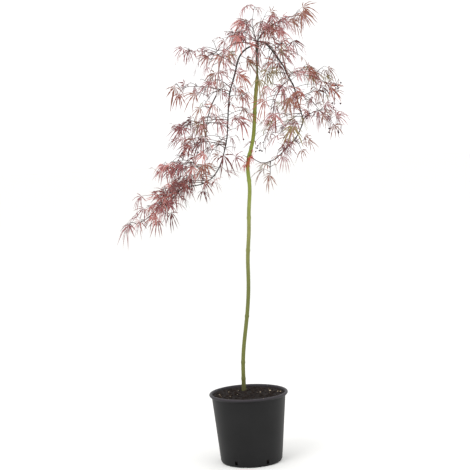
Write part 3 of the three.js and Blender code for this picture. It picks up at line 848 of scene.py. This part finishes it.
# %% Leaf materials
TINTS = {
    "rose": "b2736d",
    "brick": "97594c",
    "plum": "855052",
    "burgundy": "7b4440",
    "umber": "825647",
    "mulberry": "5f3534",
    "mauve": "9f7070",
    "olive": "80704a",
    "scarlet": "a63c34",
}
leaf_materials = {
    tint: new_material("maple_leaf_" + tint, code, 0.6, 0.25)[0] for tint, code in TINTS.items()
}
red_stalk = new_material("red_leaf_stalk", "6b3a34", 0.55, 0.3)[0]
dark_flower = new_material("dark_flower_bud", "3a1f24", 0.5, 0.3)[0]
print("leaf tints:", len(leaf_materials))

# %% Mixes and fullness
MIXES = {
    "left": "umber plum brick mauve rose burgundy",
    "left_upper": "umber plum mulberry mauve brick",
    "left_lower": "plum burgundy mulberry umber rose",
    "left_middle": "plum umber mulberry mauve burgundy",
    "left_sweep": "burgundy rose plum mulberry burgundy",
    "left_tail": "burgundy rose plum mulberry",
    "left_inner": "rose brick umber",
    "right": "brick umber mulberry plum mauve olive",
    "right_inner": "olive umber brick",
    "back": "umber plum mulberry mauve olive",
    "front": "brick plum umber mulberry mauve",
    "top": "mauve burgundy umber plum rose",
    "trunk_shoot": "scarlet",
}
FULLNESS = {
    "left": 0.6, "left_shoulder": 0.7, "left_upper": 0.1, "left_middle": 0.5, "left_lower": 0.6,
    "left_sweep": 1.1, "left_tail": 1.3, "right": 0.7, "right_upper": 0.5, "right_middle": 0.9,
    "right_inner": 0.3, "right_lower": 0.3, "right_return": 2.4, "right_inner_lower": 2.4,
    "back": 0.2, "front": 0.2, "top": 1.3, "trunk_shoot": 0.2,
}


def by_name(table, name):
    return table[max((key for key in table if name.startswith(key)), key=len)]


def deal_tint(name, draw):
    mix = by_name(MIXES, name).split()
    return mix[int(draw(0, len(mix) - 0.001))]


print("parts with a mix and with a fullness:", len(MIXES), len(FULLNESS))

# %% [markdown]
# ## Sky between the layers
# A weeping maple holds its leaves in layers with sky between them. Each row is such a place, seen
# from the front: across, up, how wide, and the share of leaves left out.

# %% Places where sky shows
SKY = [
    (-51, 971, 44, 0.5), (-70, 898, 38, 0.55), (-72, 830, 34, 0.5), (-52, 759, 38, 0.4),
    (-177, 737, 26, 0.6), (-164, 806, 22, 0.4), (-186, 680, 26, 0.5), (-8, 756, 18, 0.5),
    (-8, 1032, 26, 0.45), (175, 945, 24, 0.65), (-97, 630, 32, 0.8), (-211, 640, 26, 0.2),
    (-22, 722, 24, 0.7), (-80, 982, 24, 0.65), (200, 909, 24, 0.4), (95, 1050, 22, 0.5),
    (34, 996, 18, 0.5), (34, 948, 18, 0.5), (198, 827, 20, 0.4), (111, 803, 18, 0.6),
    (0, 806, 16, 0.5), (92, 716, 20, 0.4), (107, 746, 16, 0.4), (92, 977, 24, 0.6),
    (100, 883, 26, 0.4), (79, 835, 24, 0.6), (172, 852, 22, 0.4), (100, 812, 16, 0.4),
    (162, 777, 18, 0.5), (-267, 593, 22, 0.5), (-50, 646, 18, 0.8), (-20, 682, 18, 0.8),
    (138, 893, 20, 0.5), (20, 780, 18, 0.5), (-236, 577, 16, 0.4),
]


def sky_at(point, draw):
    near = [share for x, z, reach, share in SKY if math.hypot(point[0] - x, point[2] - z) < reach]
    return bool(near) and draw(0, 1) < max(near)


print("places of sky:", len(SKY))

# %% [markdown]
# ## The plain solid's own rule
# Every twig of the plain solid is grown again. The rule tries a twig and a coarse leaf, tests
# points along them against the mass's space, the limbs and the twigs before, and tries again,
# shorter and turned further, until they fit.

# %% Points along a plain leaf
LOBES = [(0, 1.0), (38, 0.88), (80, 0.64), (-80, 0.64), (-38, 0.88)]
SAMPLE_STEP = 6.5


def coarse_samples(start, centre, heading, pitch, size):
    """Points along a plain leaf's fingers and twig, as the solid's rule spaces them."""
    along = direction(heading, pitch)
    side = np.cross(direction(heading, pitch + 90), along)
    ends = []
    for angle, reach in LOBES:
        lean = math.radians(angle)
        tip = centre + (along * math.cos(lean) + side * math.sin(lean)) * reach * size
        tip[2] -= 0.2 * reach * size
        ends.append((tip, False))
    ends.append((start, True))
    points = []
    for end, is_root in ends:
        count = math.ceil(np.linalg.norm(end - centre) / SAMPLE_STEP)
        last = count - 1 if is_root else count
        points += [centre + (end - centre) * (j + 1) / count for j in range(last)]
    return np.array(points)


# %% A plain twig with its leaf
ATTEMPTS = 9
SHRINK = 0.07
TURN_MORE = 0.4
TWIG_REACH = 0.62
TWIG_APART = 5


def grow_twig(start, heading, pitch, stem, taken, draw):
    for attempt in range(ATTEMPTS):
        shrink = 1 - SHRINK * attempt
        twig_heading = heading + draw(-22, 22) * (1 + TURN_MORE * attempt)
        twig_pitch = pitch + draw(-22, 22) / 2
        reach = stem.size * TWIG_REACH * shrink * draw(0.75, 1.2)
        centre = start + direction(twig_heading, twig_pitch) * reach
        leaf_heading = twig_heading + draw(-20, 20)
        leaf_pitch = draw(-78, -26)
        size = stem.size * shrink * draw(0.86, 1.14)
        points = coarse_samples(start, centre, leaf_heading, leaf_pitch, size)
        if not clear_of_limbs(points) or not in_own_space(points, stem):
            continue
        if taken:
            apart = np.linalg.norm(np.concatenate(taken)[:, None] - points, axis=2)
            if apart.min() <= TWIG_APART:
                continue
        taken.append(points)
        return start, centre, twig_heading, leaf_heading, leaf_pitch, size
    return None


# %% The plain twigs of a stem
TWIG_SPACING = 22
TWIG_TURN = 68
TWIG_PITCHES = (-8, 24)
UPRIGHT_PITCH = 50


def coarse_twigs(stem):
    draw = seeded_draws(stem.index + 1)
    count = max(1, math.floor((stem.length - BARE) / TWIG_SPACING + 0.5))
    end = stem.length - 1
    taken, grown = [], []
    for node in range(1, count + 1):
        start = stem.at(min(BARE + (stem.length - BARE) * node / count, end))
        pitch = TWIG_PITCHES[node % 2]
        for turn in (TWIG_TURN, -TWIG_TURN):
            grown.append(grow_twig(start, stem.heading + turn, pitch, stem, taken, draw))
    grown.append(grow_twig(stem.at(end), stem.heading, stem.end_pitch, stem, taken, draw))
    middle = stem.at(stem.length / 2)
    grown.append(grow_twig(middle, stem.heading, UPRIGHT_PITCH, stem, taken, draw))
    return [twig for twig in grown if twig]


# %% [markdown]
# ## One fine leaf on its stalk
# A new leaf is tested at three points along its middle finger, and left out where it would leave
# its mass's space or touch a limb, and now and then where sky shows. Leaves are gathered by tint
# and made into meshes at the end.

# %% Add a leaf
leaves = {tint: [] for tint in TINTS}
leaf_nodes = {tint: set() for tint in TINTS}
twigs, stalks = [], []


def add_leaf(start, centre, heading, pitch, roll, size, tint, stem, draw, margin=-6.0):
    """A negative margin lets a leaf reach that far past the middle between two masses."""
    along = direction(heading, pitch)
    tip = centre + along * size - [0, 0, 0.2 * size]
    probe = np.array([centre, centre + along * size * 0.6, tip])
    if not in_own_space(probe, stem, margin) or not clear_of_limbs(probe) or sky_at(probe[1], draw):
        return
    leaves[tint].append(fine_leaf(centre, heading, pitch, roll, size, draw))
    leaf_nodes[tint].add(stem.name + "_foliage")
    stalks.append(fine_twig(start, centre, radius=0.55, tip_radius=0.4, bow=0.06, rings=3))


def leaf_count():
    return sum(len(part) for part in leaves.values())


# %% [markdown]
# ## Growing a spray
# From the plain twig the rule goes one step finer. The twig runs on a little and carries one leaf
# at its end and now and then some at its side. It may also bear pairs of leaves on stalks, as the
# stem may, more of them where the part is fuller.

# %% A spray for a plain leaf
# Place along the run, turn to the side, length of stalk, size, and the chance that it is there.
SPRAY = [
    (1.0, 0, 0.05, 0.82, 1.0), (0.4, 58, 0.18, 0.74, 0.1), (0.4, -58, 0.18, 0.74, 0.1),
    (0.0, 92, 0.22, 0.6, 0.05), (0.0, -92, 0.22, 0.6, 0.05),
]


def grow_spray(twig, stem, tint, full, draw):
    start, centre, _, leaf_heading, leaf_pitch, size = twig
    twigs.append(fine_twig(start, centre, 0.85, 0.6, bow=0.05))
    run = direction(leaf_heading, leaf_pitch * 0.7) * size * 0.2
    twigs.append(fine_twig(centre, centre + run, 0.6, 0.35, bow=0.08))
    for share, turn, stalk, leaf_share, chance in SPRAY:
        if turn and draw(0, 1) > chance * (0.6 + 0.5 * full):
            continue
        foot = centre + run * share
        heading = leaf_heading + turn + draw(-14, 14)
        pitch = leaf_pitch * (1 if turn == 0 else 0.6) + draw(-14, 14)
        end = foot + direction(heading, pitch * 0.5) * size * stalk
        roll = draw(-75, 75)
        leaf_size = size * leaf_share * draw(0.85, 1.15)
        add_leaf(foot, end, heading, pitch, roll, leaf_size, tint, stem, draw, margin=-12.0)


# %% Pairs of leaves along a twig or a stem
# Place along the twig and the chance of a leaf there.
TWIG_PAIRS = [(0.45, 0.09), (0.86, 0.16)]


def grow_pair(foot, heading, pitch, chance, size, spreads, tint, stem, draw):
    """spreads: ranges of turn and reach, how far pitch and heading stray, and range of size."""
    turns, reaches, pitch_stray, heading_stray, sizes = spreads
    for hand in (1, -1):
        if draw(0, 1) > chance:
            continue
        outward = heading + hand * draw(*turns)
        reach = size * draw(*reaches)
        end = foot + direction(outward, pitch + draw(-pitch_stray, pitch_stray)) * reach
        leaf_heading = outward + draw(-heading_stray, heading_stray)
        leaf_pitch, roll, leaf_size = draw(-60, 25), draw(-80, 80), size * draw(*sizes)
        add_leaf(foot, end, leaf_heading, leaf_pitch, roll, leaf_size, tint, stem, draw)


def grow_twig_pairs(twig, stem, tint, full, draw):
    start, centre, heading, _, _, size = twig
    pitch = math.degrees(math.asin((centre - start)[2] / np.linalg.norm(centre - start)))
    spreads = ((38, 74), (0.2, 0.45), 40, 20, (0.6, 0.85))
    for share, chance in TWIG_PAIRS:
        foot = start + (centre - start) * share
        grow_pair(foot, heading, pitch, chance * full, size, spreads, tint, stem, draw)


# %% [markdown]
# ## Growing every mass
# Each mass has its own draws, so that a change to one leaves the others as they are. Its twigs
# come first, then its tapering stem and the pairs of leaves along it.

# %% A stem and its own leaves
PAIR_CHANCE = 0.26
PAIR_SPACING = 24
DENSE_FROM = 1.5


def grow_stem(stem, full, draw):
    places = stations(0, stem.length, 8)
    for a, b in zip(places, places[1:]):
        thick = [0.5 + 0.55 * (1 - x / stem.length) for x in (a, b)]
        twigs.append(fine_twig(stem.at(a), stem.at(b), *thick, rings=2, sides=5))
    spacing = PAIR_SPACING if full < DENSE_FROM else PAIR_SPACING / 2
    for along in stations(BARE * 0.6, stem.length, spacing)[:-1]:
        tint = deal_tint(stem.name, draw)
        foot, chance = stem.at(along), PAIR_CHANCE * full
        spreads = ((25, 95), (0.3, 0.75), 55, 25, (0.65, 0.9))
        grow_pair(foot, stem.heading, 0, chance, stem.size, spreads, tint, stem, draw)


# %% Grow every mass
plain_twigs = 0
for stem in stems:
    draw = seeded_draws(5000 + stem.index)
    full = by_name(FULLNESS, stem.name)
    for twig in coarse_twigs(stem):
        plain_twigs += 1
        tint = deal_tint(stem.name, draw)
        grow_spray(twig, stem, tint, full, draw)
        grow_twig_pairs(twig, stem, tint, full, draw)
    grow_stem(stem, full, draw)
print("twigs of the solids:", plain_twigs, "leaves:", leaf_count())

# %% [markdown]
# ## Spurs along the boughs
# A bough is never quite bare: short spurs with single leaves stand on it. On the main boughs they
# point towards the trunk, where the masses leave room. A spur's leaf belongs to the nearest mass.

# %% Grow the spurs
# Spacing in mm and the heading that the spurs point to, give or take.
SPURS = {"left": (22, 0), "right": (32, 180)}
LESSER_SPURS = (44, None)
takes_free_leaves = [stem.name != "trunk_shoot" for stem in stems]


def free_leaf(foot, tip, heading, draw):
    size = draw(25, 35)
    near = axes.distances(tip[None, :] + direction(heading, -40) * size * 0.5)[0]
    stem = stems[int(np.where(takes_free_leaves, near, np.inf).argmin())]
    tint = deal_tint(stem.name, draw)
    leaf_heading, leaf_pitch, roll = heading + draw(-30, 30), draw(-60, 20), draw(-80, 80)
    add_leaf(foot, tip, leaf_heading, leaf_pitch, roll, size, tint, stem, draw, margin=-30.0)


for n, (name, (_, reach, _, _)) in enumerate(BOUGHS.items()):
    draw = seeded_draws(6000 + n)
    spacing, inward = SPURS.get(name, LESSER_SPURS)
    for along in stations(50, reach - 10, spacing):
        foot = point_along(limbs[name], along)
        for _ in range(2):
            heading = draw(0, 360) if inward is None else inward + draw(-110, 110)
            tip = foot + direction(heading, draw(-50, 50)) * draw(14, 40)
            free_leaf(foot, tip, heading, draw)
print("leaves with the spurs:", leaf_count())

# %% [markdown]
# ## Single shoots
# Thin shoots reach out between the masses and give the outline its loose ends. Each row is the
# limb, or None for the head, the place along it, the shoot's end, and its leaves.

# %% Table of shoots
SHOOTS = [
    (None, 0, (90, -6, 1074), 4), (None, 0, (116, 6, 1060), 2), (None, 0, (76, 10, 1060), 2),
    (None, 0, (37, -5, 1044), 6), (None, 0, (38, -12, 1008), 3), ("right", 120, (218, 0, 900), 6),
    ("right", 112, (194, -10, 914), 3), ("left", 195, (27, -12, 842), 3),
    ("left", 232, (6, -18, 800), 2), ("left", 272, (0, -16, 756), 2),
    ("left", 215, (-122, -8, 796), 3), ("left", 262, (-98, -18, 738), 3),
    ("right", 240, (66, 14, 784), 3), ("right", 345, (104, -14, 752), 4),
    ("right", 300, (124, 24, 766), 3), ("left", 225, (-40, -36, 816), 2),
    ("left", 222, (-132, -4, 808), 2), ("left", 250, (-112, 12, 776), 2),
    ("left", 430, (-158, -30, 652), 6), ("left", 400, (-150, -10, 668), 4),
    ("left", 350, (-84, -30, 712), 2), ("right", 200, (120, -20, 846), 4),
    ("right", 220, (232, 10, 800), 4), ("left", 434, (-159, -34, 640), 3),
    ("left", 434, (-189, -36, 611), 3), ("left", 428, (-124, -26, 622), 2),
    ("left", 434, (-160, -14, 618), 2), ("left", 434, (-224, -40, 584), 2),
    (None, 0, (42, 8, 1056), 4), (None, 0, (-22, -30, 1012), 3),
    ("left", 330, (-150, 16, 706), 5), ("left", 325, (-182, -24, 708), 4),
    ("left", 434, (-212, 20, 652), 3), ("left", 200, (-62, 22, 820), 2),
    ("right", 150, (230, 18, 886), 4), ("right", 130, (174, -34, 916), 3),
    ("left", 110, (-28, -20, 928), 2), ("right", 362, (78, 10, 694), 2),
    ("left", 434, (-148, -52, 640), 5), ("left", 434, (-222, -52, 588), 3),
    ("left", 320, (-172, 6, 690), 2), ("left", 262, (-124, -10, 770), 3),
    ("left", 345, (-122, -20, 690), 3), ("left", 190, (-66, -14, 812), 2),
    ("right", 235, (136, -16, 806), 2), ("left", 434, (-182, -30, 590), 2),
]
print("shoots:", len(SHOOTS))

# %% Grow the shoots
SHOOT_BOW = 0.12
draw = seeded_draws(7000)
for name, at, end, count in SHOOTS:
    foot = point_along(limbs[name], at) if name else trunk_centre(TRUNK_HEAD[2] - 3)
    end = np.array(end, float)
    twigs.append(fine_twig(foot, end, 0.8, 0.45, bow=SHOOT_BOW, rings=7))
    way = end - foot
    outward = math.degrees(math.atan2(way[1], way[0]))
    for i in range(count):
        share = 1 - 0.6 * i / count
        rise = 4 * SHOOT_BOW * np.linalg.norm(way) * share * (1 - share)
        spring = foot + way * share + [0, 0, rise]
        heading = outward + draw(-75, 75)
        tip = spring + direction(heading, draw(-40, 40)) * draw(8, 26)
        free_leaf(spring, tip, heading, draw)
print("leaves with the shoots:", leaf_count())

# %% [markdown]
# ## Two last details by the trunk
# A last twig leads from the inner end of the right bough back to the trunk, where a low shoot
# carries small young leaves: across, forward, up, heading, pitch, size.

# %% Return twig and young leaves
RETURN_TWIG = np.array(
    [(80, -5, 721), (68, -6, 717.5), (57, -6, 718), (46, -2, 724), (34, 7, 733)], float
)
YOUNG_LEAVES = [
    (37, -1, 750, 340, -78, 12), (36, -3, 738, 320, -80, 12), (20, -2, 724, 205, -70, 15),
    (18, -1, 716, 215, -80, 14), (25, -4, 722, 260, -80, 13),
]
for a, b in zip(RETURN_TWIG, RETURN_TWIG[1:]):
    twigs.append(fine_twig(a, b, 1.1, 1.0, rings=2, sides=5))
shoot = next(stem for stem in stems if stem.name == "trunk_shoot")
for x, y, z, heading, pitch, size in YOUNG_LEAVES:
    foot = trunk_centre(z - 4) + [0, -4, 0]
    tip, roll = np.array([x, y, z], float), draw(-60, 60)
    add_leaf(foot, tip, heading, pitch, roll, size, "scarlet", shoot, draw, margin=-60.0)
print("leaves in all:", leaf_count())

# %% [markdown]
# ## Joining the leaves
# Hundreds of single leaves would be slow to handle, so each tint becomes one mesh, and so do twigs
# and stalks. Each stands in for the plain masses that it grew in.

# %% Join the leaves by tint, and the twigs
all_masses = [node for node in NODES if node.endswith("_foliage")]
for tint, parts in leaves.items():
    piece = joined(tint, parts)
    nodes = sorted(leaf_nodes[tint])
    finish(piece, "leaves_" + tint, leaf_materials[tint], nodes, smooth=0)
finish(joined("twigs", twigs), "twigs", twig_bark, all_masses, smooth=60)
finish(joined("stalks", stalks), "leaf_stalks", red_stalk, all_masses, smooth=60)

# %% [markdown]
# ## Flower clusters
# In spring small dark flowers hang among the leaves, a few beads on hair-thin stalks. Their dots show
# against the light, so each cluster is listed at the place where one hangs.

# %% Flowers
# Across, up and the number of beads.
CLUSTERS = [
    (58, 752, 8), (235, 785, 6), (240, 846, 5), (250, 891, 5), (180, 823, 4), (-98, 757, 6),
    (-117, 755, 2), (16, 772, 1), (76, 768, 1),
]
BEAD, BEAD_FACES = lump([[1, 0, 0], [0, 1, 0], [-1, 0, 0], [0, -1, 0]], [0, 0, 1], [0, 0, -1])
draw = seeded_draws(77)
beads, hairs = [], []
for x, z, count in CLUSTERS:
    head = np.array([x, -4.0, z + 16.0])
    for _ in range(count):
        bead = head + [draw(-13, 13), draw(-11, 11), draw(-24, -8)]
        beads.append((BEAD * draw(2.0, 2.7) + bead, BEAD_FACES))
        hairs.append(fine_twig(head, bead, 0.3, 0.25, rings=3))
finish(joined("beads", beads), "flower_beads", dark_flower, [], smooth=80)
finish(joined("hairs", hairs), "flower_stalks", red_stalk, [], smooth=60)

# %% [markdown]
# ## Studio
# The plant stands on a pale floor in soft, even light, with a slightly brighter light from the
# upper left.

# %% Floor and lights
# Name, place in metres, width in metres and power in watts.
LIGHTS = [("key", (-2.2, -2.6, 3.0), 2.2, 60), ("fill", (2.6, -2.2, 1.6), 2.5, 24)]
AIM = Vector((0, 0, 0.6))
FLOOR_SIZE = 60
SKY_STRENGTH = 1.12
bpy.ops.object.select_all(action="DESELECT")
bpy.ops.mesh.primitive_plane_add(size=FLOOR_SIZE, location=(0, 0, 0))
floor = bpy.context.object
floor.name = "studio_floor"
floor_paint = new_material("pale_floor_paint", "f4f4f2", 0.9, 0.1)[0]
floor.data.materials.append(floor_paint)

world = bpy.data.worlds.new("studio")
bpy.context.scene.world = world
world.use_nodes = True
world.node_tree.nodes["Background"].inputs["Color"].default_value = linear("ffffff")
world.node_tree.nodes["Background"].inputs["Strength"].default_value = SKY_STRENGTH
for name, at, size, power in LIGHTS:
    bpy.ops.object.light_add(type="AREA", location=at)
    light = bpy.context.object
    light.name = name
    light.data.size = size
    light.data.energy = power
    light.rotation_euler = (AIM - Vector(at)).to_track_quat("-Z", "Y").to_euler()
print("lights:", len(LIGHTS))

# %% [markdown]
# ## Camera
# The camera is about three metres away, looks down a little, and is rolled a little, which is why
# the pot leans in its picture. The pot's rim and sides gave its place and its lens.

# %% Camera
PITCH = math.radians(4.63)
ROLL = math.radians(2.9)
EYE = Vector((-13.3, -3000, 792)) * MM
FOCUS_PIXELS = 1259.7
FRAME_PIXELS = 470
SENSOR_WIDTH = 36
camera_data = bpy.data.cameras.new("camera")
camera = bpy.data.objects.new("camera", camera_data)
bpy.context.scene.collection.objects.link(camera)
camera_data.sensor_width = SENSOR_WIDTH
camera_data.lens = FOCUS_PIXELS / FRAME_PIXELS * SENSOR_WIDTH
tilt = Matrix.Rotation(math.radians(90) - PITCH, 4, "X")
camera.matrix_world = Matrix.Translation(EYE) @ tilt @ Matrix.Rotation(-ROLL, 4, "Z")
bpy.context.scene.camera = camera
bpy.context.scene.view_settings.view_transform = "Standard"
print("lens in mm:", round(camera_data.lens, 1))
